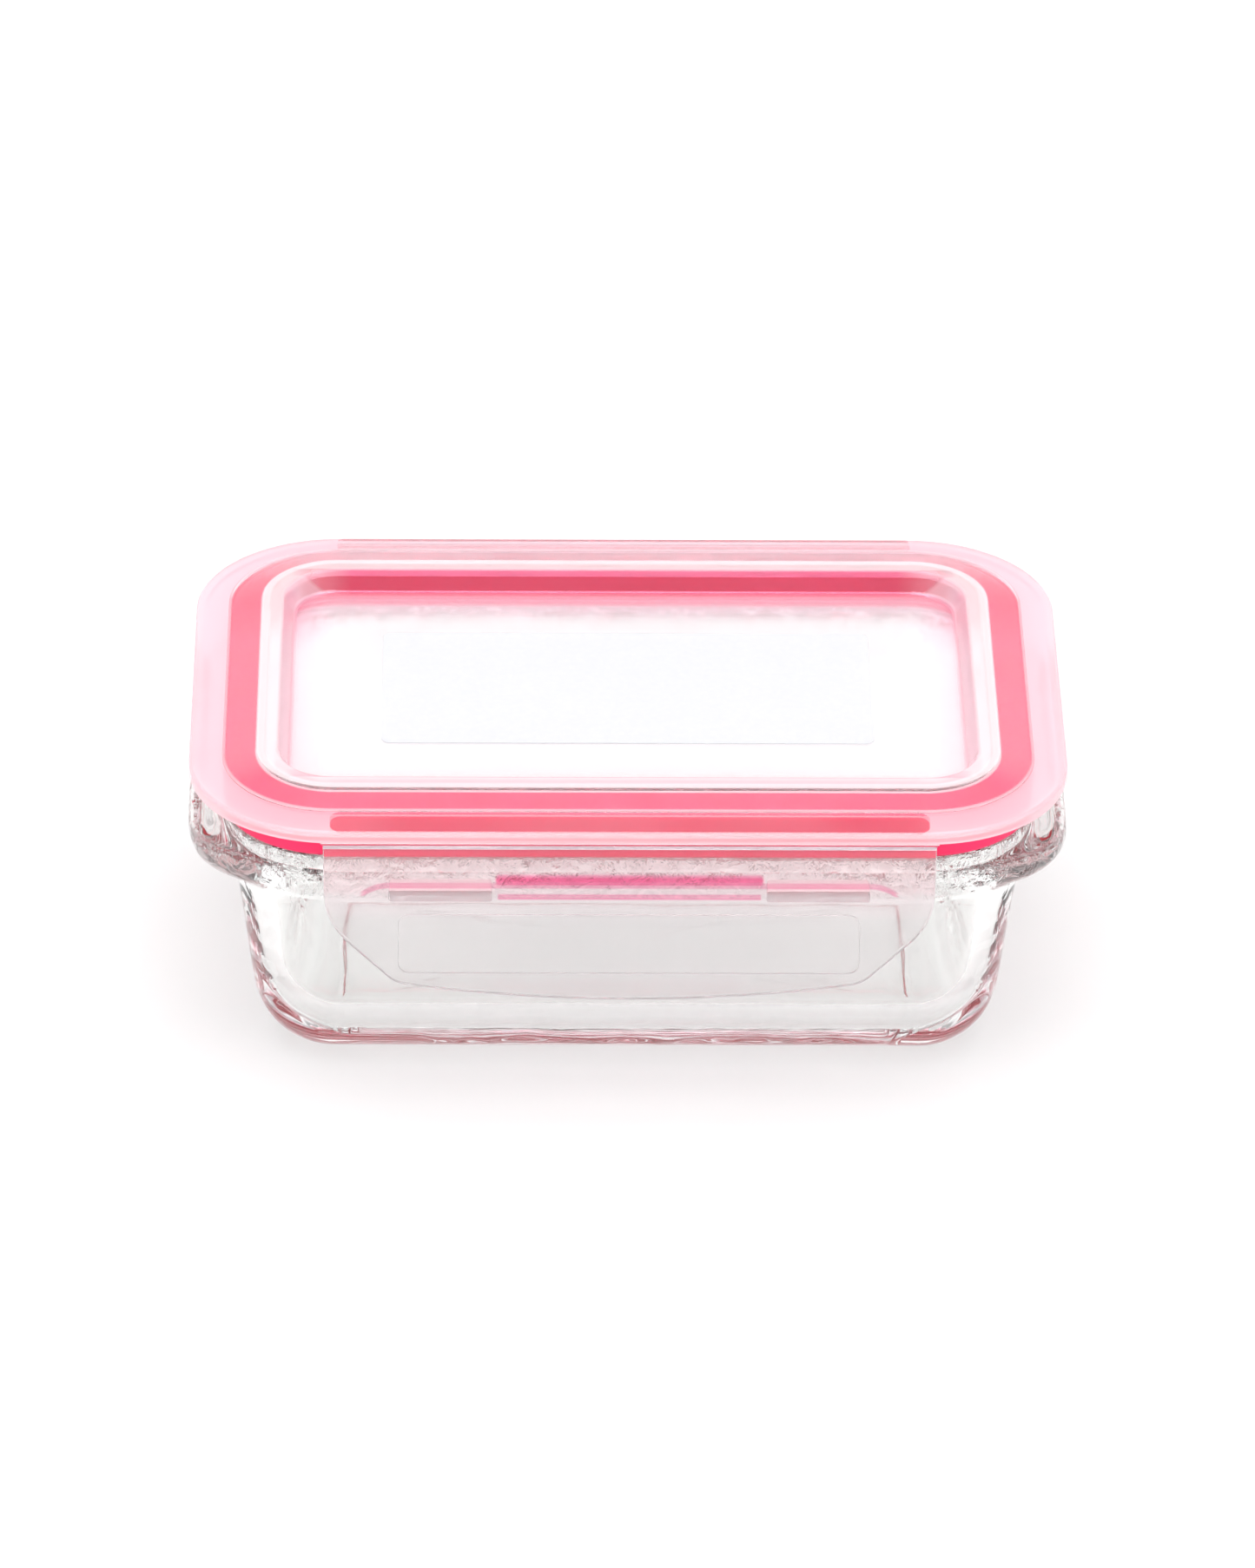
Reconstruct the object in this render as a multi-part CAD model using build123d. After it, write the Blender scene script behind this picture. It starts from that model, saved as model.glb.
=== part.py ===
"""Rectangular pressed-glass food box with a clear snap lid, a silicone seal and two fold-down latch flaps.

Frame: +X along the length, -Y to the front flap, +Z up, origin at the middle of the underside.
"""

from build123d import *
from math import radians, tan
import os

# ---- Overall size, mm ----
overall_height = 58.0
lid_length = 150.0
lid_width = 102.0
lid_corner = 24.8  # plan radius of the lid's outer corners

# ---- Lid: insets are measured in plan from its outer edge, drops from the crease line on its rim ----
wall = 1.6  # moulded wall thickness
crease_inset = 5.7  # the low outer band ends here, in a small step up to the slope over the seal
crease_step = 0.4
lip_top_drop = 1.0
lip_bottom_drop = 3.3
ridge_inset = 12.0  # the slope over the seal ends here, on a flat ridge
ridge_rise = 1.1  # ridge above the crease line
shoulder_inset = 15.2  # the ridge ends here and the recess wall falls away
recess_inset = 17.1  # foot of the recess wall
recess_drop = 2.3
panel_thickness = 1.5
relief_inset = 14.7  # outer face of the recess wall, seen from below
rib_thickness = 1.1  # short rib that the seal is stretched over
rib_drop = 7.4

# ---- Writing field, a slightly raised frosted rectangle on the recessed panel ----
field_length = 84.5
field_width = 38.0
field_height = 0.25
field_corner = 1.5

# ---- Silicone seal ----
seal_gap = 0.05  # all round the seal, to the lid and to the glass rim, with the lid closed
seal_channel_inset = 2.2  # from the seal's outer and inner faces to the channel between its two lips
seal_channel_depth = 1.3
seal_rounding = 0.8

# ---- Glass dish: half sizes from its middle, drops again from the lid's crease line ----
rim_drop = 9.3
bead_inset = 5.8  # from the lid's outer edge
bead_drop = 12.8  # underside of the bead
bead_rounding = 1.1
wall_half_length = 68.4  # outer wall, at the underside of the bead
wall_half_width = 42.7
wall_corner = 18.0
cavity_half_length = 63.6  # inner wall, at the rim
cavity_half_width = 38.8
cavity_corner = 14.0
draft = 7.0  # degrees, outside and inside
floor_thickness = 5.0
base_rounding = 11.5
cavity_rounding = 11.5
foot_inset = 13.5  # from the foot of the outer wall, base rounding included, to the hollow of the underside
foot_recess = 0.5
foot_corner = 8.0

# ---- Grip ears at the two ends of the dish ----
ear_reach = 75.4
ear_half_width = 39.5
ear_corner = 13.0
ear_top_drop = 12.7
ear_thickness = 6.6
ear_top_rounding = 1.0
ear_bottom_rounding = 2.6

# ---- Latch flaps, at the front and the rear ----
flap_half_width = 51.8
flap_thickness = 1.5
flap_side_drop = 13.1  # the straight sides end here
flap_bend_radius = 14.0  # they turn in by 45 degrees, then slant to the lower corners
flap_corner_half_width = 41.0
flap_corner_drop = 30.8
flap_bottom_drop = 34.2
flap_corner_rounding = 6.0
flap_edge_rounding = 0.4
web_thickness = 0.4
web_height = 1.0
pad_half_width = 39.2
pad_top_drop = 17.8
pad_bottom_drop = 29.4
pad_height = 0.5
pad_corner = 2.0

# ---- Catches inside each flap ----
catch_middle = 32.0  # from the middle of the flap
catch_length = 17.5
catch_gap = 0.15  # tip to bead, in plan
catch_top_drop = 13.0
catch_tip_height = 1.0
catch_root_height = 2.2
catch_rounding = 0.3

# ---- Heights and places worked out from these ----
top = overall_height
crease = top - ridge_rise
rim_top = crease - rim_drop
bead_bottom = crease - bead_drop
panel_top = crease - recess_drop
panel_bottom = panel_top - panel_thickness
lip_top = crease - lip_top_drop
lip_bottom = crease - lip_bottom_drop
rib_bottom = crease - rib_drop
half_width = lid_width / 2
flap_inner = half_width - flap_thickness
flap_top = lip_bottom - web_height


def outline(inset, z):
    """A rounded rectangle at height z, this far inside the lid's outer edge."""
    return Pos(0, 0, z) * RectangleRounded(
        lid_length - 2 * inset, lid_width - 2 * inset, lid_corner - inset
    )


def prism(inset, low, high):
    return extrude(outline(inset, low), amount=high - low)


def frustum(low_inset, low, high_inset, high):
    """A solid between two outlines whose walls slope straight from one to the other."""
    return loft([outline(low_inset, low), outline(high_inset, high)], ruled=True)


def drafted_block(half_length, half_breadth, corner, high, low):
    """A rounded block, sized at its top and narrowing downwards by the draft, and its lower outline."""
    shrink = (high - low) * tan(radians(draft))
    upper = Pos(0, 0, high) * RectangleRounded(2 * half_length, 2 * half_breadth, corner)
    lower = Pos(0, 0, low) * RectangleRounded(
        2 * (half_length - shrink), 2 * (half_breadth - shrink), corner - shrink
    )
    return loft([lower, upper], ruled=True), lower


def loop(solid, face):
    """The edges of a solid that lie on the border of a flat face."""
    wire = face.wire()
    return [e for e in solid.edges() if all(wire.distance_to(e @ t) < 0.01 for t in (0, 0.5, 1))]


def make_lid_shell():
    band_top = crease - crease_step
    shell = prism(0, lip_bottom, lip_top) + frustum(0, lip_top, crease_inset, band_top)
    shell += prism(crease_inset, band_top, crease) + frustum(crease_inset, crease, ridge_inset, top)
    shell -= prism(wall, lip_bottom, lip_top - wall)
    shell -= frustum(wall, lip_top - wall, crease_inset, band_top - wall)
    shell -= frustum(crease_inset, band_top - wall, ridge_inset, top - wall)
    shell += prism(ridge_inset, rib_bottom, top)
    shell -= frustum(recess_inset, panel_top, shoulder_inset, top)
    rib_inner = ridge_inset + rib_thickness
    shell -= prism(rib_inner, rib_bottom, panel_bottom)
    shell -= prism(rib_inner, panel_bottom, top - wall) - prism(relief_inset, panel_bottom, top - wall)
    for inset, z, rounding in (
        (shoulder_inset, top, 0.7),
        (ridge_inset, top, 0.5),
        (recess_inset, panel_top, 0.8),
        (crease_inset, crease, 0.35),
        (0, lip_top, 0.6),
        (0, lip_bottom, 0.3),
    ):
        shell = fillet(loop(shell, outline(inset, z)), rounding)
    return shell


def make_writing_field():
    face = Pos(0, 0, panel_top) * RectangleRounded(field_length, field_width, field_corner)
    return extrude(face, amount=field_height)


def make_seal():
    outer = crease_inset + seal_gap
    inner = ridge_inset - seal_gap
    low = rim_top + seal_gap
    outer_top = crease - crease_step - wall - seal_gap
    inner_top = top - wall - seal_gap
    seal = prism(outer, low, outer_top) + frustum(outer, outer_top, inner, inner_top)
    seal -= prism(inner, low, inner_top)
    channel_outer = outer + seal_channel_inset
    channel_inner = inner - seal_channel_inset
    channel_top = low + seal_channel_depth
    seal -= prism(channel_outer, low, channel_top) - prism(channel_inner, low, channel_top)
    lower_edges = loop(seal, outline(outer, low)) + loop(seal, outline(inner, low))
    seal = fillet(lower_edges, seal_rounding)
    return fillet(loop(seal, outline(outer, outer_top)), seal_rounding)


def make_ear(side):
    """One end's thumb ledge, still solid where the dish will be."""
    root = lid_length / 4
    length = ear_reach - root
    ear_top = crease - ear_top_drop
    ear_bottom = ear_top - ear_thickness
    plan = RectangleRounded(length, 2 * ear_half_width, ear_corner)
    plan = Pos(side * (root + length / 2), 0, ear_bottom) * plan
    ear = extrude(plan, amount=ear_thickness)
    ear = fillet(ear.edges().group_by(Axis.Z)[-1], ear_top_rounding)
    return fillet(ear.edges().group_by(Axis.Z)[0], ear_bottom_rounding)


def make_glass_dish():
    body, base = drafted_block(wall_half_length, wall_half_width, wall_corner, bead_bottom, 0)
    body = fillet(loop(body, base), base_rounding)
    bead = prism(bead_inset, bead_bottom, rim_top)
    bead = fillet(bead.edges().filter_by(Plane.XY), bead_rounding)
    body += bead
    for side in (-1, 1):
        body += make_ear(side)
    cavity, floor = drafted_block(
        cavity_half_length, cavity_half_width, cavity_corner, rim_top, floor_thickness
    )
    mouth = cavity.faces().sort_by(Axis.Z)[-1]
    body -= fillet(loop(cavity, floor), cavity_rounding)
    body = fillet(loop(body, mouth), bead_rounding)
    base_size = base.bounding_box().size
    foot = RectangleRounded(base_size.X - 2 * foot_inset, base_size.Y - 2 * foot_inset, foot_corner)
    return body - extrude(foot, amount=foot_recess, taper=45)


def flap_face():
    """The flap's outline, looking at it from outside, on the vertical plane through the origin."""
    side_end = crease - flap_side_drop
    corner_z = crease - flap_corner_drop
    corner = (flap_corner_half_width, corner_z)
    side = Line((flap_half_width, flap_top), (flap_half_width, side_end))
    bend = JernArc(side @ 1, side % 1, flap_bend_radius, -45)
    slant = Line(bend @ 1, corner)
    sweep = TangentArc((0, crease - flap_bottom_drop), corner, tangent=(1, 0))
    middle = Line(sweep @ 0, (0, flap_top))
    half = make_face(Curve() + [side, bend, slant, sweep, middle, Line(middle @ 1, side @ 0)])
    half = fillet(half.vertices().sort_by_distance(corner)[0], flap_corner_rounding)
    return Plane.XZ * (half + mirror(half, about=Plane.YZ))


def make_front_flap():
    flap = Pos(0, -flap_inner, 0) * extrude(flap_face(), amount=flap_thickness)
    rounded = [e for e in flap.edges().filter_by(Plane.XZ) if e.center().Z < flap_top - 1.0]
    flap = fillet(rounded, flap_edge_rounding)
    pad_z = crease - (pad_top_drop + pad_bottom_drop) / 2
    pad_face = Plane.XZ * (
        Pos(0, pad_z) * RectangleRounded(2 * pad_half_width, pad_bottom_drop - pad_top_drop, pad_corner)
    )
    pad = Pos(0, pad_height - flap_inner, 0) * extrude(pad_face, amount=pad_height)
    return flap + pad


def make_front_web():
    """The thin bending strip between the lid's lip and the flap."""
    return Pos(0, web_thickness / 2 - half_width, lip_bottom - web_height / 2) * Box(
        2 * flap_half_width, web_thickness, web_height
    )


def make_front_catches():
    bead_face = half_width - bead_inset
    tip = -(bead_face + catch_gap)
    catch_top = crease - catch_top_drop
    profile = Polyline(
        (-flap_inner, catch_top),
        (tip, catch_top),
        (tip, catch_top - catch_tip_height),
        (-flap_inner, catch_top - catch_root_height),
        close=True,
    )
    catch = extrude(Plane.YZ * make_face(profile), amount=catch_length / 2, both=True)
    tip_edges = [e for e in catch.edges().filter_by(Axis.X) if abs(e.center().Y - tip) < 0.01]
    catch = fillet(tip_edges, catch_rounding)
    return [Pos(side * catch_middle, 0, 0) * catch for side in (-1, 1)]


def to_rear(shape):
    return mirror(shape, about=Plane.XZ)


front_flap = make_front_flap()
front_web = make_front_web()
front_catches = make_front_catches()

nodes = {
    "glass_dish": make_glass_dish(),
    "lid_shell": make_lid_shell(),
    "writing_field": make_writing_field(),
    "seal_gasket": make_seal(),
    "front_hinge_web": front_web,
    "rear_hinge_web": to_rear(front_web),
    "front_latch_flap": front_flap,
    "rear_latch_flap": to_rear(front_flap),
    "front_catches": Compound(children=front_catches),
    "rear_catches": Compound(children=[to_rear(catch) for catch in front_catches]),
}

os.makedirs("parts", exist_ok=True)
for name, shape in nodes.items():
    export_step(shape, f"parts/{name}.step")
    print(name, round(sum(solid.volume for solid in shape.solids())), shape.bounding_box().size)
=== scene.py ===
"""Looks for the snap lid food box: pressed glass, clear plastic, pink silicone, soft studio light.

Metres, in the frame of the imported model: +X along the length, -Y to the front flap, +Z up.
"""

import bmesh
import bpy
from math import atan2, cos, hypot, pi, radians, sin, sqrt, tan
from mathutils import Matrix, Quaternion, Vector, noise


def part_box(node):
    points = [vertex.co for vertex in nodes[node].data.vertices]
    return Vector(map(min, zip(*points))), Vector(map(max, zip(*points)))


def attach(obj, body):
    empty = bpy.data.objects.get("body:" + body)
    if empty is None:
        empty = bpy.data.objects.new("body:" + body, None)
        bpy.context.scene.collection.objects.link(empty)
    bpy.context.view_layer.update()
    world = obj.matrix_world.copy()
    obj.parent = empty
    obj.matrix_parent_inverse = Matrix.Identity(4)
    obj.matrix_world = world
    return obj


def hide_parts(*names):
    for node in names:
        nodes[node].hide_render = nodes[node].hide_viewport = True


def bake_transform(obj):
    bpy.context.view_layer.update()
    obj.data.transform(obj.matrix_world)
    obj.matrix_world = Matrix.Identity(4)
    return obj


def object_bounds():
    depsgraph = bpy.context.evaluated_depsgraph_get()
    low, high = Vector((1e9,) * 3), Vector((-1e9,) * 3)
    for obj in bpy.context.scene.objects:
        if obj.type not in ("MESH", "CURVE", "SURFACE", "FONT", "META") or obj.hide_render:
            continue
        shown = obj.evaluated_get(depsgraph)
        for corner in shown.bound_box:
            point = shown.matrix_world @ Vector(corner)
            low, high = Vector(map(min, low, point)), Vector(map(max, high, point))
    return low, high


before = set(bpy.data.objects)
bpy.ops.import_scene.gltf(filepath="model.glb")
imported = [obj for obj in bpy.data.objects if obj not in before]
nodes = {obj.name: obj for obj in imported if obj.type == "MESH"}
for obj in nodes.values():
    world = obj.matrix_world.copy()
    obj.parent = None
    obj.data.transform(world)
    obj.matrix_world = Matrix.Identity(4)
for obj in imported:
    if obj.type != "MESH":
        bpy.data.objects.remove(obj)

MM = 0.001
cad_low, cad_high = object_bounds()
dish_low, dish_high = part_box("glass_dish")
lid_low, lid_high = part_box("lid_shell")
flap_low, flap_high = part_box("front_latch_flap")
web_low, web_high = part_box("front_hinge_web")
seal_low, seal_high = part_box("seal_gasket")
field_low, field_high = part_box("writing_field")


# ---------------------------------------------------------------- small helpers
def link(obj):
    bpy.context.scene.collection.objects.link(obj)
    return obj


def mesh_object(name, points, faces):
    """A new object from points and faces, shaded smooth."""
    mesh = bpy.data.meshes.new(name)
    mesh.from_pydata([tuple(p) for p in points], [], faces)
    mesh.update()
    mesh.shade_smooth()
    return link(bpy.data.objects.new(name, mesh))


def rounded_rectangle(half_x, half_y, corner, arc_steps, long_steps, short_steps):
    """Points and outward normals round a rectangle with arcs for corners, anticlockwise from +X."""
    points = []
    centre_x = half_x - corner
    centre_y = half_y - corner
    turns = ((1, 1, 0), (-1, 1, 1), (-1, -1, 2), (1, -1, 3))
    for side_x, side_y, quarter in turns:
        for step in range(arc_steps + 1):
            angle = (quarter + step / arc_steps) * pi / 2
            normal = (cos(angle), sin(angle))
            x = side_x * centre_x + corner * normal[0]
            y = side_y * centre_y + corner * normal[1]
            points.append((x, y, normal))
        steps = long_steps if quarter % 2 == 0 else short_steps
        next_x, next_y, _ = turns[(quarter + 1) % 4]
        start = points[-1]
        end = (
            next_x * centre_x + corner * start[2][0],
            next_y * centre_y + corner * start[2][1],
        )
        for step in range(1, steps):
            share = step / steps
            points.append((
                start[0] + (end[0] - start[0]) * share,
                start[1] + (end[1] - start[1]) * share,
                start[2],
            ))
    return points


# ---------------------------------------------------------------- node materials
class Shader:
    """One Principled material with short calls for the nodes that drive it."""

    def __init__(self, name, **values):
        self.material = bpy.data.materials.new(name)
        self.material.use_nodes = True
        self.tree = self.material.node_tree
        self.tree.nodes.clear()
        self.output = self.tree.nodes.new("ShaderNodeOutputMaterial")
        self.main = self.tree.nodes.new("ShaderNodeBsdfPrincipled")
        self.tree.links.new(self.main.outputs[0], self.output.inputs["Surface"])
        places = self.tree.nodes.new("ShaderNodeTexCoord")
        self.position = places.outputs["Object"]
        self.normal = places.outputs["Normal"]
        for socket, value in values.items():
            self.main.inputs[socket.replace("_", " ")].default_value = value

    def node(self, kind, **settings):
        made = self.tree.nodes.new(kind)
        for key, value in settings.items():
            setattr(made, key, value)
        return made

    def join(self, source, target):
        self.tree.links.new(source, target)

    def noise(self, scale, detail=2.0, distortion=0.0, stretch=(1, 1, 1)):
        """Noise of this many cells a metre, 0 to 1, stretched along the axes."""
        mapping = self.node("ShaderNodeMapping")
        mapping.inputs["Scale"].default_value = stretch
        self.join(self.position, mapping.inputs["Vector"])
        made = self.node("ShaderNodeTexNoise")
        made.inputs["Scale"].default_value = scale
        made.inputs["Detail"].default_value = detail
        made.inputs["Distortion"].default_value = distortion
        self.join(mapping.outputs[0], made.inputs["Vector"])
        return made.outputs[0]

    def spread(self, source, low, high, start=0.3, end=0.7):
        """A value from low to high as the source goes from start to end."""
        made = self.node("ShaderNodeMapRange")
        for name, value in (("From Min", start), ("From Max", end), ("To Min", low), ("To Max", high)):
            made.inputs[name].default_value = value
        self.join(source, made.inputs["Value"])
        return made.outputs[0]

    def ramp(self, source, stops):
        """A colour for the source from (place, colour) stops."""
        made = self.node("ShaderNodeValToRGB")
        band = made.color_ramp
        while len(band.elements) < len(stops):
            band.elements.new(1.0)
        for element, (place, colour) in zip(band.elements, stops):
            element.position = place
            element.color = (*colour, 1.0)
        self.join(source, made.inputs[0])
        return made.outputs[0]

    def drive(self, socket, source):
        self.join(source, self.main.inputs[socket])

    def let_light_through(self, tint):
        """Lamps reach what is behind the material, dimmed by this tint at each surface."""
        clear = self.node("ShaderNodeBsdfTransparent")
        clear.inputs["Color"].default_value = (*tint, 1.0)
        mixed = self.node("ShaderNodeMixShader")
        self.join(self.node("ShaderNodeLightPath").outputs["Is Shadow Ray"], mixed.inputs[0])
        self.join(self.main.outputs[0], mixed.inputs[1])
        self.join(clear.outputs[0], mixed.inputs[2])
        self.join(mixed.outputs[0], self.output.inputs["Surface"])

    def plan_distance(self, half, corner, middle_y=0.0):
        """Distance in plan to a rounded rectangle, negative inside, in millimetres.

        Its middle is the origin, or it is one of a pair at this far in front and behind."""
        return self.distance(self.position, half, corner, (0, middle_y / MM, 0))

    def face_distance(self, half, corner, middle_z):
        """The same for a rectangle on a flap, seen from outside, around this height."""
        turned = self.node("ShaderNodeCombineXYZ")
        self.join(self.part_of(self.position, "X"), turned.inputs["X"])
        self.join(self.part_of(self.position, "Z"), turned.inputs["Y"])
        return self.distance(turned.outputs[0], half, corner, (0, middle_z / MM, 0), False)

    def distance(self, place, half, corner, middle, paired=True):
        """Distance to a rounded rectangle in the first two axes of a place, in millimetres."""
        def vector(operation, first, second=None):
            made = self.node("ShaderNodeVectorMath", operation=operation)
            self.join(first, made.inputs[0])
            if second is not None:
                made.inputs[1].default_value = second
            return made

        def number(operation, first, second):
            made = self.node("ShaderNodeMath", operation=operation)
            for socket, value in zip(made.inputs, (first, second)):
                if isinstance(value, (int, float)):
                    socket.default_value = value
                else:
                    self.join(value, socket)
            return made.outputs[0]

        flat = vector("MULTIPLY", place, (1 / MM, 1 / MM, 0))
        if paired:
            flat = vector("ABSOLUTE", flat.outputs[0])
        moved = vector("SUBTRACT", flat.outputs[0], middle)
        over = vector("SUBTRACT", vector("ABSOLUTE", moved.outputs[0]).outputs[0], (
            (half[0] - corner) / MM, (half[1] - corner) / MM, 0))
        outside = vector("LENGTH", vector("MAXIMUM", over.outputs[0], (0, 0, 0)).outputs[0]).outputs["Value"]
        parts = self.node("ShaderNodeSeparateXYZ")
        self.join(over.outputs[0], parts.inputs[0])
        inside = number("MINIMUM", number("MAXIMUM", parts.outputs[0], parts.outputs[1]), 0.0)
        return number("SUBTRACT", number("ADD", outside, inside), corner / MM)

    def bands(self, distance, stops):
        """A colour for each distance inside the outline, from (millimetres inside, colour) stops."""
        deepest = stops[-1][0]
        scaled = self.spread(distance, 0.0, 1.0, 0.0, -deepest)
        return self.ramp(scaled, [(depth / deepest, colour) for depth, colour in stops])

    def times(self, first, second):
        """Two colours multiplied."""
        made = self.node("ShaderNodeMix", data_type="RGBA", blend_type="MULTIPLY")
        made.inputs[0].default_value = 1.0
        self.join(first, made.inputs[6])
        self.join(second, made.inputs[7])
        return made.outputs[2]

    def blend(self, factor, first, second):
        """From the first colour or value to the second as the factor goes from 0 to 1."""
        made = self.node("ShaderNodeMix", data_type="RGBA")
        self.join(factor, made.inputs[0])
        self.join(first, made.inputs[6])
        self.join(second, made.inputs[7])
        return made.outputs[2]

    def product(self, first, second, operation="MULTIPLY"):
        """Two values multiplied, or put together by another operation."""
        made = self.node("ShaderNodeMath", operation=operation)
        self.join(first, made.inputs[0])
        self.join(second, made.inputs[1])
        return made.outputs[0]

    def largest(self, first, second):
        """The larger of two values."""
        return self.product(first, second, "MAXIMUM")

    def part_of(self, source, axis):
        """One axis of a vector."""
        parts = self.node("ShaderNodeSeparateXYZ")
        self.join(source, parts.inputs[0])
        return parts.outputs[axis]

    def size_of(self, axis, source=None):
        """How far along an axis the point is, or the size of one part of another vector, without its sign."""
        made = self.node("ShaderNodeMath", operation="ABSOLUTE")
        self.join(self.part_of(source or self.position, axis), made.inputs[0])
        return made.outputs[0]

    def bump(self, height, strength, distance):
        """Adds a bump from a height on top of the ones made before."""
        made = self.node("ShaderNodeBump")
        made.inputs["Strength"].default_value = strength
        made.inputs["Distance"].default_value = distance
        self.join(height, made.inputs["Height"])
        before = self.main.inputs["Normal"]
        if before.is_linked:
            self.join(before.links[0].from_socket, made.inputs["Normal"])
        self.join(made.outputs[0], before)


def glass_material():
    """Clear glass with soft ripples, strongest on the sides of the rim and the ears."""
    s = Shader("pressed_glass_look", Transmission_Weight=1.0, IOR=1.5)
    greenish = ((0.3, (0.972, 0.988, 0.976)), (0.7, (0.982, 0.992, 0.984)))
    s.drive("Base Color", s.ramp(s.noise(22, 3), greenish))
    s.drive("Roughness", s.spread(s.noise(60, 4), 0.0, 0.012))
    s.bump(s.noise(75, 2, 0.4, (1, 1, 0.45)), 0.25, 0.0005)
    near_rim = s.spread(s.part_of(s.position, "Z"), 0.0, 1.0, 0.037, 0.042)
    upright = s.spread(s.size_of("Z", s.normal), 1.0, 0.0, 0.6, 0.9)
    s.bump(s.product(s.product(near_rim, upright), s.noise(240, 3, 0.8)), 0.9, 0.0016)
    s.let_light_through((0.7, 0.705, 0.7))
    return s.material


def lid_material():
    """Clear plastic, milky on its outer band and ridge, with painted reflections: the seal's pink light, seen
    through the plastic, painted on by place.

    The outer band is polished only above the two flaps. The panel's painted pink glow is on its rear part
    only, though on a real lid it follows where the light comes from."""
    s = Shader("clear_lid_plastic_look", IOR=1.49)
    inset = s.plan_distance((lid_high.x, lid_high.y), 24.8 * MM)
    polished = s.spread(s.plan_distance((50.6 * MM, 2.75 * MM), 1.8 * MM, 48.05 * MM), 1.0, 0.0, -0.1, 0.15)
    # Painted reflection: where the recess wall runs along the front and rear, a strong pink stands for the
    # seal's light seen through it.
    facing = s.product(
        s.spread(s.plan_distance((62.0 * MM, 1.05 * MM), 0.9 * MM, 34.8 * MM), 1.0, 0.0, -0.1, 0.4),
        s.spread(s.size_of("X"), 1.0, 0.0, 0.048, 0.0585),
    )
    speckle = s.ramp(s.noise(30, 3), ((0.3, (0.985, 0.98, 0.985)), (0.7, (1.0, 0.995, 1.0))))
    clear = (1.0, 1.0, 1.0)
    # Painted reflection: the seal's pink light, seen through the plastic, painted as bands by distance inside
    # the lid's outline, with paler bands between them and a greyer panel in the middle.
    tint = s.bands(
        inset,
        (
            (0.0, (1.0, 0.76, 0.81)),
            (2.0, (1.0, 0.7, 0.77)),
            (5.9, (1.0, 0.66, 0.73)),
            (6.3, (1.0, 0.95, 0.965)),
            (11.5, (1.0, 0.95, 0.965)),
            (11.8, (1.0, 0.86, 0.88)),
            (15.0, (1.0, 0.84, 0.87)),
            (15.5, (1.0, 0.66, 0.74)),
            (17.1, (1.0, 0.7, 0.77)),
            (18.4, (1.0, 0.84, 0.88)),
            (24.0, (0.965, 0.945, 0.955)),
        ),
    )
    # Painted reflection: pale pink seal light on the polished band above the flaps.
    band_seal_reflection = s.ramp(s.noise(40, 2), ((0.3, (1.0, 0.77, 0.82)), (0.7, (1.0, 0.82, 0.86))))
    # The strong pink painted reflection of the seal on those recess walls.
    wall_seal_reflection = s.ramp(s.noise(40, 2), ((0.3, (1.0, 0.07, 0.22)), (0.7, (1.0, 0.1, 0.26))))
    # Painted glow: pink seal light scattered onto the slope and the panel, painted on the rear half only,
    # where the light from the front falls on the seal.
    rear_glow = s.bands(
        inset,
        (
            (0.0, clear),
            (6.2, clear),
            (6.4, (1.0, 0.76, 0.82)),
            (11.4, (1.0, 0.76, 0.82)),
            (11.8, clear),
            (16.9, clear),
            (17.3, (1.0, 0.66, 0.78)),
            (19.5, (1.0, 0.78, 0.87)),
            (23.0, (1.0, 0.9, 0.95)),
            (28.0, clear),
        ),
    )
    rear = s.spread(s.part_of(s.position, "Y"), 0.0, 1.0, 0.012, 0.03)
    glow = s.blend(rear, s.ramp(s.noise(40, 2), ((0.3, clear), (0.7, (1.0, 0.99, 0.992)))), rear_glow)
    body = s.times(s.blend(facing, s.blend(polished, tint, band_seal_reflection), wall_seal_reflection), glow)
    s.drive("Base Color", s.times(speckle, body))
    milky = s.bands(
        inset,
        (
            (0.0, (0.5, 0.5, 0.5)),
            (5.9, (0.52, 0.52, 0.52)),
            (6.3, (0.96, 0.96, 0.96)),
            (11.4, (0.96, 0.96, 0.96)),
            (11.7, (0.35, 0.35, 0.35)),
            (12.7, (0.35, 0.35, 0.35)),
            (13.2, (0.55, 0.55, 0.55)),
            (17.1, (0.6, 0.6, 0.6)),
            (17.6, (0.74, 0.74, 0.74)),
            (24.0, (0.74, 0.74, 0.74)),
        ),
    )
    polished_share = s.ramp(s.noise(40, 2), ((0.3, (0.93, 0.93, 0.93)), (0.7, (0.97, 0.97, 0.97))))
    outside = s.largest(
        s.spread(s.part_of(s.normal, "Z"), 0.0, 1.0, 0.02, 0.15),
        s.spread(inset, 0.0, 1.0, -0.9, -0.6),
    )
    clearing = s.largest(s.largest(facing, polished), s.spread(outside, 1.0, 0.0, 0.0, 1.0))
    s.drive("Transmission Weight", s.blend(clearing, milky, polished_share))
    s.drive("Roughness", s.spread(s.noise(140, 4), 0.09, 0.14))
    s.bump(s.noise(90, 3, 0.3), 0.06, 0.0003)
    s.let_light_through((0.95, 0.95, 0.95))
    return s.material


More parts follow.
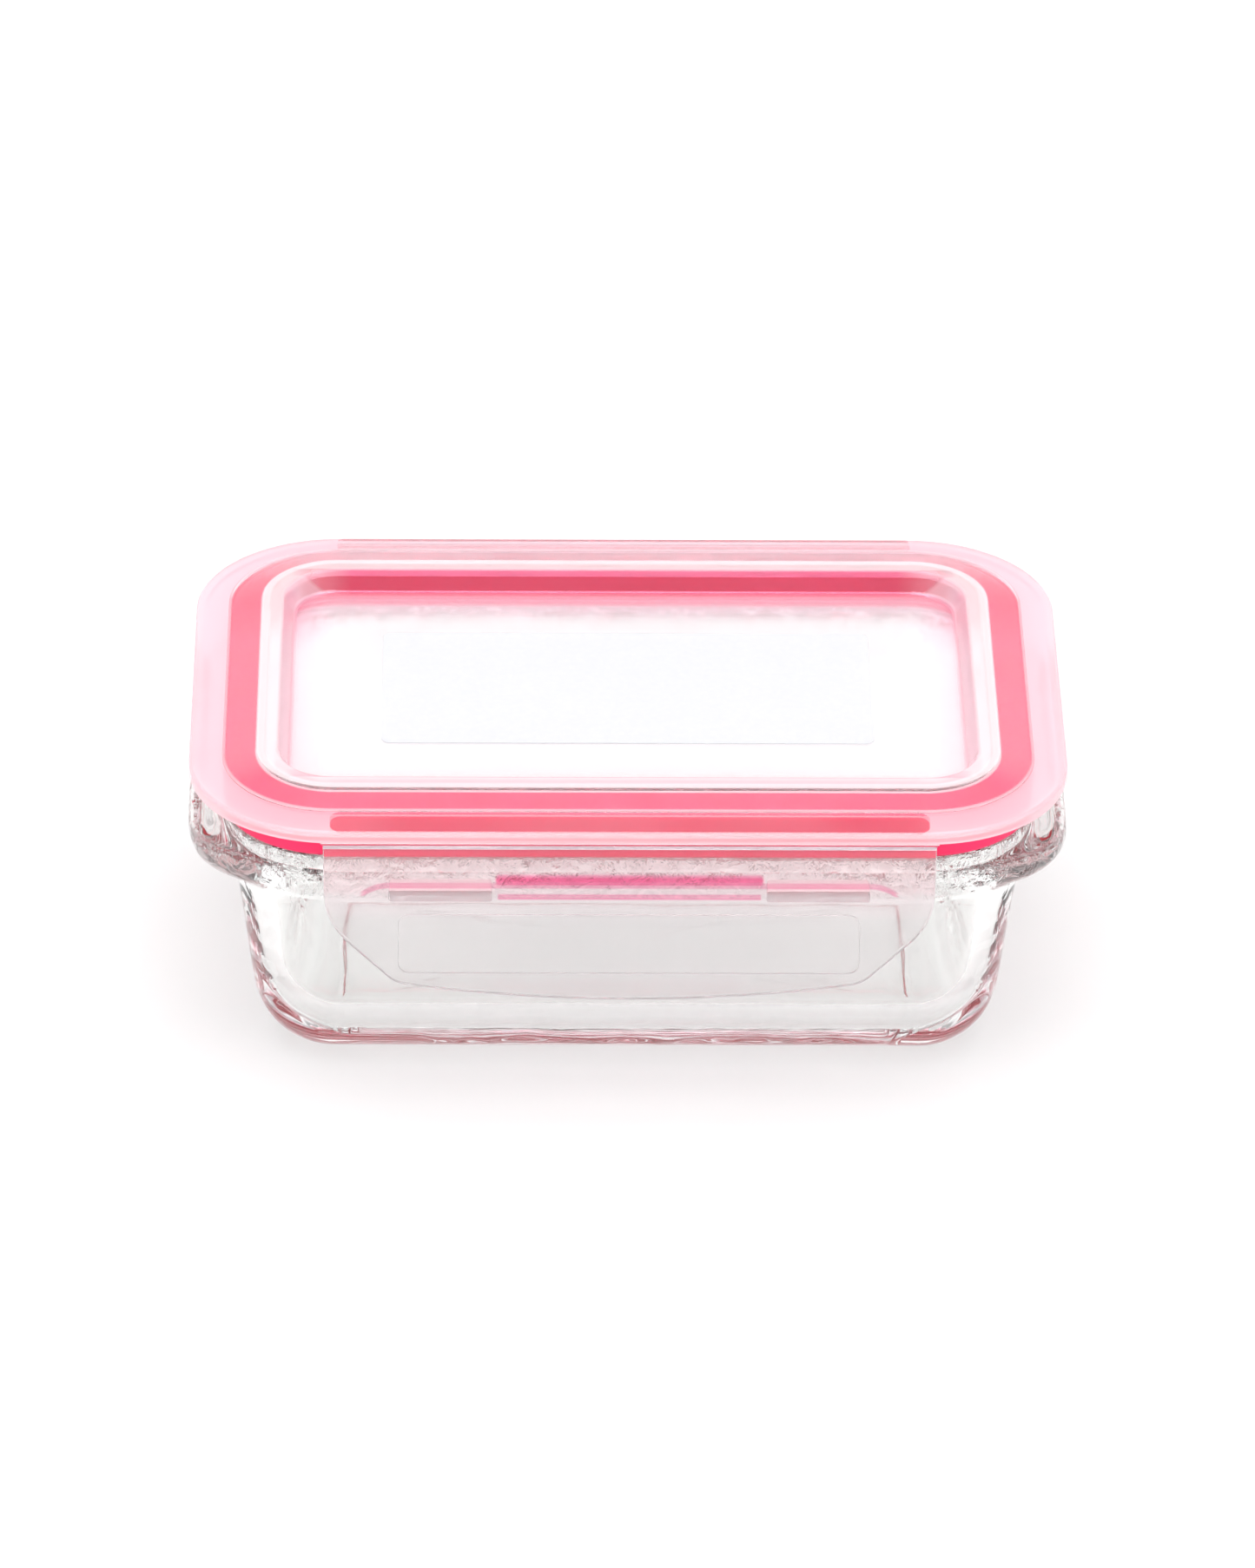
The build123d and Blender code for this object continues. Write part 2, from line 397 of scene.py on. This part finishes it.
def flap_material():
    """Clear plastic with a painted highlight on its rounded edges. The seal's pink light, seen through the
    flap, is painted on its upper part as a glow, a streak and a line, and stays on it.
    """
    s = Shader("clear_flap_plastic_look", IOR=1.49)
    height = s.part_of(s.position, "Z")
    edge = s.spread(s.size_of("Y", s.normal), 1.0, 0.0, 0.8, 0.97)
    # Painted light by height: greyer low down, the seal's pink light painted on the upper part, and darker
    # mauve at the top edge.
    glow = s.ramp(
        s.spread(height, 0.0, 1.0, 0.034, 0.054),
        (
            (0.0, (0.9, 0.88, 0.885)),
            (0.22, (0.91, 0.885, 0.892)),
            (0.3, (0.94, 0.885, 0.9)),
            (0.47, (0.95, 0.87, 0.89)),
            (0.5, (0.98, 0.83, 0.86)),
            (0.88, (1.0, 0.83, 0.85)),
            (0.92, (0.84, 0.77, 0.82)),
            (1.0, (0.84, 0.77, 0.82)),
        ),
    )
    body = s.times(glow, s.ramp(s.noise(30, 3), ((0.3, (0.98, 0.98, 0.98)), (0.7, (1.0, 1.0, 1.0)))))
    # Painted reflection: a saturated pink streak of seal light across the upper part of the flap.
    seal_light_pink = s.ramp(s.noise(90, 3), ((0.3, (0.96, 0.12, 0.32)), (0.7, (1.0, 0.2, 0.4))))
    seal_light_streak = s.largest(
        s.spread(s.face_distance((22.6 * MM, 0.8 * MM), 0.6 * MM, 46.3 * MM), 1.0, 0.0, -0.2, 0.3),
        s.spread(s.face_distance((22.2 * MM, 0.2 * MM), 0.1 * MM, 43.0 * MM), 1.0, 0.0, -0.1, 0.25),
    )
    body = s.blend(seal_light_streak, body, seal_light_pink)
    # Painted reflection: a thin pink line of seal light along the top of an outline on the flap.
    outline = s.node("ShaderNodeMath", operation="ABSOLUTE")
    s.join(s.face_distance((47.5 * MM, 7.0 * MM), 6.9 * MM, 38.2 * MM), outline.inputs[0])
    seal_light_line = s.product(
        s.spread(outline.outputs[0], 1.0, 0.0, 0.14, 0.42),
        s.spread(height, 0.0, 1.0, 0.0432, 0.0436),
    )
    body = s.blend(seal_light_line, body, s.ramp(s.noise(90, 3), ((0.3, (0.86, 0.2, 0.38)), (0.7, (0.95, 0.34, 0.5)))))
    # Painted highlight: the rounded edges are near white, and less clear, for the light they catch from
    # above.
    edge_highlight = s.ramp(s.noise(60, 3), ((0.3, (0.98, 0.95, 0.96)), (0.7, (1.0, 0.97, 0.98))))
    s.drive("Base Color", s.blend(edge, body, edge_highlight))
    s.drive("Transmission Weight", s.spread(edge, 0.96, 0.6, 0.0, 1.0))
    s.drive("Roughness", s.spread(s.noise(150, 4), 0.05, 0.09))
    s.bump(s.noise(110, 3, 0.3), 0.08, 0.0003)
    s.let_light_through((0.9, 0.9, 0.9))
    return s.material


def field_material():
    s = Shader("frosted_field_look", Transmission_Weight=0.45, IOR=1.49)
    s.drive("Base Color", s.ramp(s.noise(900, 3), ((0.3, (0.84, 0.845, 0.875)), (0.7, (0.865, 0.87, 0.895)))))
    s.drive("Roughness", s.spread(s.noise(700, 5), 0.15, 0.25))
    s.bump(s.noise(2200, 3), 0.1, 0.00005)
    s.let_light_through((0.9, 0.9, 0.91))
    return s.material


def seal_material():
    s = Shader("pink_silicone_look", IOR=1.41, Subsurface_Weight=0.35, Subsurface_Scale=0.002)
    s.main.inputs["Subsurface Radius"].default_value = (1.0, 0.3, 0.35)
    # Painted shade: faces turned down, where the seal lies on the glass rim, get a darker, deeper red than
    # the rest.
    seal_pink = s.ramp(s.noise(120, 4), ((0.3, (0.9, 0.017, 0.115)), (0.7, (0.93, 0.024, 0.135))))
    shaded_underside_red = s.ramp(s.noise(120, 4), ((0.3, (0.76, 0.008, 0.025)), (0.7, (0.84, 0.012, 0.04))))
    s.drive("Base Color", s.blend(s.spread(s.part_of(s.normal, "Z"), 1.0, 0.0, -0.9, -0.5), seal_pink, shaded_underside_red))
    s.drive("Roughness", s.spread(s.noise(260, 4), 0.32, 0.45))
    s.bump(s.noise(900, 3), 0.1, 0.0002)
    return s.material


def dress(names, material):
    """Gives the CAD nodes their finish through their own material slots."""
    for name in names:
        for entry in nodes[name].material_slots:
            entry.link = "OBJECT"
            entry.material = material


# ---------------------------------------------------------------- mesh helpers
def applied(obj):
    """The object with its modifiers made part of its mesh."""
    shape = bpy.data.meshes.new_from_object(obj.evaluated_get(bpy.context.evaluated_depsgraph_get()))
    obj.modifiers.clear()
    old = obj.data
    obj.data = shape
    bpy.data.meshes.remove(old)
    shape.name = obj.name
    return obj


def outward(obj):
    """Turns every face of a closed mesh outwards."""
    work = bmesh.new()
    work.from_mesh(obj.data)
    bmesh.ops.recalc_face_normals(work, faces=work.faces)
    work.to_mesh(obj.data)
    work.free()
    return obj


def smooth_except(obj, degrees):
    """Smooth shading, with creases sharper than this kept sharp."""
    obj.data.shade_smooth()
    obj.data.set_sharp_from_angle(angle=radians(degrees))
    return obj


def ripple(obj, height, size):
    """Moves each point along its normal by soft noise, as on glass that was pressed and fire polished.

    The height may be a number or a function of the point."""
    moved = []
    for vertex in obj.data.vertices:
        share = height(vertex.co) if callable(height) else height
        moved.extend(vertex.co + vertex.normal * (noise.noise(vertex.co / size) * share))
    obj.data.vertices.foreach_set("co", moved)
    obj.data.update()
    return obj


def keep_inside(obj, low, high):
    """Moves what the ripple carried out of a box back onto the nearest face of the box."""
    for vertex in obj.data.vertices:
        for axis in range(3):
            vertex.co[axis] = min(max(vertex.co[axis], low[axis]), high[axis])
    obj.data.update()
    return obj


def skin(name, rings, cap_first=True, cap_last=True):
    """A skin over rings that all have the same number of points."""
    count = len(rings[0])
    points = [point for ring in rings for point in ring]
    faces = []
    for level in range(len(rings) - 1):
        for here in range(count):
            there = (here + 1) % count
            faces.append((
                level * count + here,
                level * count + there,
                (level + 1) * count + there,
                (level + 1) * count + here,
            ))
    if cap_first:
        faces.append(tuple(range(count)))
    if cap_last:
        faces.append(tuple(range((len(rings) - 1) * count, len(rings) * count)))
    return outward(mesh_object(name, points, faces))


# ---------------------------------------------------------------- pressed glass dish
rim_top = dish_high.z
rim_wetting = 0.12 * MM  # the seal is squeezed onto the rim, so the glass looks joined to it
bead_half = (lid_high.x - (lid_high.y - dish_high.y), dish_high.y)
bead_corner = 19.0 * MM
bead_bottom = rim_top - 3.5 * MM
draft = tan(radians(7.0))
wall_top_half = (68.4 * MM, 42.7 * MM)
wall_corner = 18.0 * MM
cavity_top_half = (63.6 * MM, 38.8 * MM)
cavity_corner = 14.0 * MM
cavity_floor = 5.0 * MM
base_rounding = 11.5 * MM
cavity_rounding = 11.5 * MM
ear_half = (dish_high.x, 39.5 * MM)
ear_corner = 13.0 * MM
ear_top = bead_bottom + 0.1 * MM
ear_softness = 2.2 * MM


def distance_to_rectangle(x, y, half, corner):
    """Signed distance to a rounded rectangle, negative inside."""
    over_x = abs(x) - (half[0] - corner)
    over_y = abs(y) - (half[1] - corner)
    return hypot(max(over_x, 0), max(over_y, 0)) + min(max(over_x, over_y), 0) - corner


def dish_ring(half, corner, z, ear_share=0.0, ear_z=None):
    """One level of the dish. An ear share carries the points that far out to the ears' plan."""
    ring = []
    for x, y, normal in rounded_rectangle(*half, max(corner, 1.5 * MM), 8, 14, 7):
        height = z
        if ear_share:
            inside = -distance_to_rectangle(x, y, ear_half, ear_corner)
            reach = (inside + sqrt(inside * inside + ear_softness * ear_softness)) / 2
            reach = min(reach, ear_half[0] - half[0])
            x += normal[0] * reach * ear_share
            y += normal[1] * reach * ear_share
            swell = min(reach / (6.8 * MM), 1.0)
            height += (ear_z - z) * swell * swell * (3 - 2 * swell)
        ring.append((x, y, height))
    return ring


def wall_ring(z, inset=0.0, ear_share=0.0, ear_z=None):
    """A level on the outer wall, or this far inside it."""
    shrink = (bead_bottom - z) * draft + inset
    half = (wall_top_half[0] - shrink, wall_top_half[1] - shrink)
    return dish_ring(half, wall_corner - shrink, z, ear_share, ear_z)


def cavity_ring(z, inset=0.0, lift=0.0):
    shrink = (rim_top - z) * draft + inset
    half = (cavity_top_half[0] - shrink, cavity_top_half[1] - shrink)
    return dish_ring(half, cavity_corner - shrink, z + lift)


def bend_levels(ring, floor, radius, steps):
    """Levels round the bend from a floor up to a wall, floor first."""
    levels = []
    for step in range(steps + 1):
        angle = step / steps * pi / 2
        rise = radius * (1 - cos(angle))
        inward = radius * (1 - sin(angle))
        levels.append(ring(floor + rise, inward))
    return levels


def bead_ring(inset, drop):
    half = (bead_half[0] - inset, bead_half[1] - inset)
    return dish_ring(half, bead_corner - inset, rim_top - drop)


def rim_ripple(point):
    """The rim and the ears chill first in the mould and keep the strongest ripples."""
    share = min(max((point.z - 34 * MM) / (8 * MM), 0.0), 1.0)
    outside = distance_to_rectangle(point.x, point.y, bead_half, bead_corner) > -2.5 * MM
    return 0.12 * MM * share if outside else 0.03 * MM * share


def make_dish():
    """One skin: up the cavity, over the rim, round the bead and the ears, down to the hollow foot."""
    rings = [cavity_ring(cavity_floor, cavity_rounding + inset * MM) for inset in (8, 1.5)]
    rings += bend_levels(cavity_ring, cavity_floor, cavity_rounding, 4)
    rings += [cavity_ring(z * MM) for z in (20, 28, 36, 42.5)]
    rings += [cavity_ring(rim_top - drop * MM) for drop in (1.6, 0.5)]
    rings += [cavity_ring(rim_top, inset * MM, rim_wetting) for inset in (-0.7, -1.6)]
    rings += [bead_ring(inset * MM, -rim_wetting) for inset in (1.7, 0.8)]
    for inset, drop in ((0.15, 0.55), (0, 1.5), (0, 2.4), (0.35, 3.1)):
        rings.append(bead_ring(inset * MM, drop * MM))
    for drop, share, ear_drop in (
        (0.2, 0.10, 0.0),
        (0.6, 0.45, -0.05),
        (1.0, 0.84, 0.0),
        (1.7, 1.0, 0.9),
        (3.6, 1.0, 3.6),
        (5.6, 0.80, 6.2),
        (7.2, 0.32, 6.7),
        (9.0, 0.06, 8.0),
    ):
        rings.append(wall_ring(bead_bottom - drop * MM, 0, share, ear_top - ear_drop * MM))
    rings += [wall_ring(z * MM) for z in (31, 24, 17)]
    rings += reversed(bend_levels(wall_ring, 0.0, base_rounding, 5))
    rings += [wall_ring(0.0, inset * MM) for inset in (12.6, 13.3)]
    rings += [wall_ring(0.5 * MM, inset * MM) for inset in (13.9, 14.8, 20.0)]
    dish = skin("pressed_dish", rings)
    subdivision = dish.modifiers.new("rounding", "SUBSURF")
    subdivision.levels = subdivision.render_levels = 2
    applied(dish)
    ripple(dish, 0.06 * MM, 9 * MM)
    ripple(dish, rim_ripple, 2.8 * MM)
    keep_inside(dish, cad_low, cad_high)
    dish.data.shade_smooth()
    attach(dish, "dish")
    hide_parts("glass_dish")
    return dish


# ---------------------------------------------------------------- lid details
def slab(name, half_x, half_y, corner, low, high, edge):
    """A rounded rectangular plate with softly rounded edges."""
    bevel = edge * 0.3
    levels = ((edge, low), (0, low + edge), (0, high - edge), (bevel, high - bevel), (edge, high))
    rings = [
        [(x, y, z) for x, y, _ in rounded_rectangle(half_x - inset, half_y - inset, corner - inset, 6, 1, 1)]
        for inset, z in levels
    ]
    return skin(name, rings)


def make_field():
    """The frosted rectangle on the lid's panel."""
    gap = 0.02 * MM
    corner, edge = 1.5 * MM, 0.08 * MM
    field = slab("frosted_field", field_high.x, field_high.y, corner, field_low.z + gap, field_high.z, edge)
    crisp(field, 60)
    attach(field, "lid")
    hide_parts("writing_field")
    return field


def arc_points(centre, radius, start, end, steps):
    """Points and outward normals on an arc, its angles in degrees."""
    found = []
    for step in range(steps + 1):
        angle = radians(start + (end - start) * step / steps)
        normal = (cos(angle), sin(angle))
        found.append((centre[0] + radius * normal[0], centre[1] + radius * normal[1], normal))
    return found


def flap_outline():
    """Points (x, z, normal) round the flap, seen from outside, starting at its upper right corner."""
    half = flap_high.x
    top = flap_high.z
    side_end = top - 8.8 * MM
    corner = (41.0 * MM, flap_low.z + 3.4 * MM)
    sag = flap_low.z
    rise = corner[1] - sag
    sweep_radius = (corner[0] ** 2 + rise ** 2) / (2 * rise)
    bend = arc_points((half - bend_radius, side_end), bend_radius, 0, -45, 8)
    # The lower corner is an arc between the 45 degree slant and the long bottom sweep.
    sweep_centre = (0.0, sag + sweep_radius)
    slant_offset = (bend[-1][0] - bend[-1][1]) / sqrt(2)
    centre = meeting_centre(sweep_centre, sweep_radius - corner_rounding, slant_offset - corner_rounding)
    lower = atan2(centre[1] - sweep_centre[1], centre[0])
    corner_arc = arc_points(centre, corner_rounding, -45, lower * 180 / pi, 6)
    sweep = arc_points(sweep_centre, sweep_radius, lower * 180 / pi, -90, 12)
    half_outline = [(half, top, (1, 0))] + bend + corner_arc + sweep[1:]
    mirrored = [(-x, z, (-normal[0], normal[1])) for x, z, normal in reversed(half_outline[:-1])]
    return half_outline + mirrored


def meeting_centre(sweep_centre, reach, offset):
    """The lower right point this far from the sweep's centre whose x - z over root 2 is the offset."""
    # With x = offset * sqrt(2) + z, the distance to the sweep's centre gives a quadratic in z.
    shift = offset * sqrt(2)
    b = shift - sweep_centre[1]
    c = shift * shift + sweep_centre[1] ** 2 - reach * reach
    z = (-b - sqrt(b * b - 2 * c)) / 2
    return (shift + z, z)


bend_radius = 14.0 * MM
corner_rounding = 6.0 * MM
flap_edge = 0.4 * MM


def merge(obj, others):
    """Joins closed meshes into one skin."""
    for other in others:
        union = obj.modifiers.new("union", "BOOLEAN")
        union.operation = "UNION"
        union.solver = "EXACT"
        union.object = other
        applied(obj)
        bpy.data.objects.remove(other)
    return obj


def crisp(obj, degrees):
    """Smooth rounded edges that leave the large flat faces flat."""
    smooth_except(obj, degrees)
    weigh = obj.modifiers.new("flat faces", "WEIGHTED_NORMAL")
    weigh.weight = 100
    weigh.keep_sharp = True
    return applied(obj)


def catch_bar(side, middle):
    """One catch, sunk into the flap that it belongs to. Side is -1 at the front and 1 at the rear."""
    catch_low, catch_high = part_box("front_catches")
    half = 8.75 * MM
    tip = catch_high.y
    root = catch_low.y - 0.6 * MM
    high = catch_high.z
    outline = (
        (root, high),
        (tip - 0.35 * MM, high),
        (tip - 0.1 * MM, high - 0.1 * MM),
        (tip, high - 0.35 * MM),
        (tip, high - 0.75 * MM),
        (tip - 0.15 * MM, high - 1.0 * MM),
        (tip - 0.5 * MM, high - 1.12 * MM),
        (root, high - 2.3 * MM),
    )
    middle_z = high - 0.8 * MM
    rings = []
    near_end = ((0, 0.72), (0.1 * MM, 0.9), (0.35 * MM, 1))
    stations = [(-half + inward, scale) for inward, scale in near_end]
    stations += [(half - inward, scale) for inward, scale in reversed(near_end)]
    for x, scale in stations:
        rings.append([
            (middle + x, -side * (root + (y - root) * scale), middle_z + (z - middle_z) * scale)
            for y, z in outline
        ])
    return skin("catch", rings)


def grip_pad(side):
    """The flat pad on the flap's inner face, a little proud of it."""
    half_x = 39.2 * MM
    low = flap_low.z + 4.8 * MM
    half_z = 5.8 * MM
    inner = flap_high.y - 0.5 * MM
    rings = []
    for inset, y in (
        (0, inner - 0.5 * MM),
        (0, inner + 0.3 * MM),
        (0.06 * MM, inner + 0.44 * MM),
        (0.2 * MM, inner + 0.5 * MM),
    ):
        rings.append([
            (x, -side * y, low + half_z + z)
            for x, z, _ in rounded_rectangle(half_x - inset, half_z - inset, 2 * MM - inset, 5, 1, 1)
        ])
    return skin("pad", rings)


def make_flap(name, body, side):
    """A latch flap with its pad and two catches as one moulding. Side is -1 in front, 1 at the rear."""
    outer = flap_low.y
    inner = flap_high.y - 0.5 * MM
    outline = flap_outline()
    rings = []
    for inset, y in (
        (flap_edge, outer),
        (flap_edge * 0.3, outer + flap_edge * 0.3),
        (0, outer + flap_edge),
        (0, inner - flap_edge),
        (flap_edge * 0.3, inner - flap_edge * 0.3),
        (flap_edge, inner),
    ):
        rings.append([(x - nx * inset, -side * y, z - nz * inset) for x, z, (nx, nz) in outline])
    flap = skin(name, rings)
    merge(flap, [grip_pad(side)] + [catch_bar(side, middle * MM) for middle in (-32.0, 32.0)])
    crisp(flap, 32)
    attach(flap, body)
    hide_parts(*body_nodes[body])
    return flap


body_nodes = {
    "front_flap": ("front_latch_flap", "front_catches"),
    "rear_flap": ("rear_latch_flap", "rear_catches"),
}


def make_web(name, side):
    """The living hinge: a thin strip between lid and flap, thinner halfway up, that flares into the lid's
    lip.
    """
    rows = 10
    columns = 24
    half = web_high.x
    outer_y = web_low.y + 0.03 * MM
    thickness = 0.34 * MM
    points = []
    for row in range(rows + 1):
        share = row / rows
        z = web_low.z + (web_high.z - web_low.z) * share
        flare = 0.9 * MM * max(0.0, share - 0.3) ** 2
        waist = 0.1 * MM * sin(share * pi)
        for column in range(columns + 1):
            x = -(half + flare) + 2 * (half + flare) * column / columns
            points.append((x, side * (-outer_y - waist), z))
            points.append((x, side * (-outer_y - thickness), z))
    wide = columns + 1
    faces = []
    for row in range(rows):
        for column in range(columns):
            low = 2 * (row * wide + column)
            up = low + 2 * wide
            faces.append((low, low + 2, up + 2, up))
            faces.append((low + 1, low + 3, up + 3, up + 1))
        for column in (0, columns):
            low = 2 * (row * wide + column)
            up = low + 2 * wide
            faces.append((low, low + 1, up + 1, up))
    for row in (0, rows):
        for column in range(columns):
            low = 2 * (row * wide + column)
            faces.append((low, low + 2, low + 3, low + 1))
    web = outward(mesh_object(name, points, faces))
    crisp(web, 50)
    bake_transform(web)
    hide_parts(name.replace("living_hinge", "hinge_web"))
    return web


glass = glass_material()
lid_plastic = lid_material()
flap_plastic = flap_material()
frosted = field_material()
silicone = seal_material()
make_dish().data.materials.append(glass)
make_field().data.materials.append(frosted)
for front, side in (("front", -1), ("rear", 1)):
    make_flap(front + "_flap_moulding", front + "_flap", side).data.materials.append(flap_plastic)
    make_web(front + "_living_hinge", side).data.materials.append(flap_plastic)
dress(["lid_shell"], lid_plastic)
dress(["seal_gasket"], silicone)


# ---------------------------------------------------------------- floor, light, camera
def make_floor():
    half = 3.0
    corners = [(-half, -half, 0), (half, -half, 0), (half, half, 0), (-half, half, 0)]
    floor = mesh_object("studio_floor", corners, [(0, 1, 2, 3)])
    s = Shader("studio_floor_paper", Roughness=0.9)
    s.main.inputs["Base Color"].default_value = (0.93, 0.93, 0.93, 1.0)
    s.main.inputs["Specular IOR Level"].default_value = 0.1
    floor.data.materials.append(s.material)


def make_world():
    """A white backdrop with dimmer walls above it and behind the camera, which clear edges need to show."""
    world = bpy.data.worlds.new("studio")
    bpy.context.scene.world = world
    world.use_nodes = True
    tree = world.node_tree
    tree.nodes.clear()
    output = tree.nodes.new("ShaderNodeOutputWorld")
    background = tree.nodes.new("ShaderNodeBackground")
    tree.links.new(background.outputs[0], output.inputs[0])
    parts = tree.nodes.new("ShaderNodeSeparateXYZ")
    tree.links.new(tree.nodes.new("ShaderNodeTexCoord").outputs["Generated"], parts.inputs[0])

    def ramp(source, stops):
        made = tree.nodes.new("ShaderNodeValToRGB")
        band = made.color_ramp
        while len(band.elements) < len(stops):
            band.elements.new(1.0)
        for element, (place, value) in zip(band.elements, stops):
            element.position = place
            element.color = (value, value, value, 1.0)
        tree.links.new(source, made.inputs[0])
        return made.outputs[0]

    def mix(factor, first, second):
        made = tree.nodes.new("ShaderNodeMix")
        made.data_type = "RGBA"
        tree.links.new(factor, made.inputs[0])
        tree.links.new(first, made.inputs[6])
        tree.links.new(second, made.inputs[7])
        return made.outputs[2]

    # Each ramp runs over the sine of the elevation, from the horizon at 0 to straight up at 1.
    behind_object = ramp(parts.outputs["Z"], ((0.0, 1.0), (0.58, 1.0), (0.66, 0.4), (0.88, 0.4), (0.95, 1.0)))
    behind_camera = ramp(parts.outputs["Z"], ((0.0, 0.95), (0.3, 0.95), (0.4, 1.1), (1.0, 1.0)))
    side = tree.nodes.new("ShaderNodeMapRange")
    side.inputs["From Min"].default_value = -0.35
    side.inputs["From Max"].default_value = -0.05
    tree.links.new(parts.outputs["Y"], side.inputs["Value"])
    studio = mix(side.outputs[0], behind_camera, behind_object)
    white = tree.nodes.new("ShaderNodeRGB")
    white.outputs[0].default_value = (1, 1, 1, 1)
    seen = mix(tree.nodes.new("ShaderNodeLightPath").outputs["Is Camera Ray"], studio, white.outputs[0])
    tree.links.new(seen, background.inputs["Color"])
    background.inputs["Strength"].default_value = 1.0


def softbox(name, place, target, size, power):
    light = bpy.data.lights.new(name, "AREA")
    light.shape = "RECTANGLE"
    light.size, light.size_y = size
    light.energy = power
    lamp = link(bpy.data.objects.new(name, light))
    lamp.location = place
    lamp.rotation_mode = "QUATERNION"
    lamp.rotation_quaternion = (Vector(target) - Vector(place)).to_track_quat("-Z", "Y")
    return lamp


def make_camera():
    """A long lens at the height of someone looking down at a table."""
    azimuth, elevation, roll = radians(1.0), radians(30.5), radians(0.65)
    distance = 1.6864
    aim = Vector((-0.0003, -0.0364, 0.0569))
    forward = Vector((sin(azimuth) * cos(elevation), cos(azimuth) * cos(elevation), -sin(elevation)))
    data = bpy.data.cameras.new("camera")
    data.lens = 228.1
    data.sensor_width = 36.0
    data.clip_start = 0.05
    data.clip_end = 50.0
    camera = link(bpy.data.objects.new("camera", data))
    camera.location = aim - forward * distance
    camera.rotation_mode = "QUATERNION"
    camera.rotation_quaternion = forward.to_track_quat("-Z", "Y") @ Quaternion((0, 0, 1), roll)
    bpy.context.scene.camera = camera


def set_light_paths():
    scene = bpy.context.scene
    scene.view_settings.view_transform = "Standard"
    scene.cycles.max_bounces = 32
    scene.cycles.transmission_bounces = 32
    scene.cycles.glossy_bounces = 16
    scene.cycles.transparent_max_bounces = 16
    scene.cycles.diffuse_bounces = 6


make_floor()
make_world()
softbox("top_softbox", (0.0, -0.1, 1.3), (0, 0, 0), (1.2, 1.2), 9.5)
make_camera()
set_light_paths()
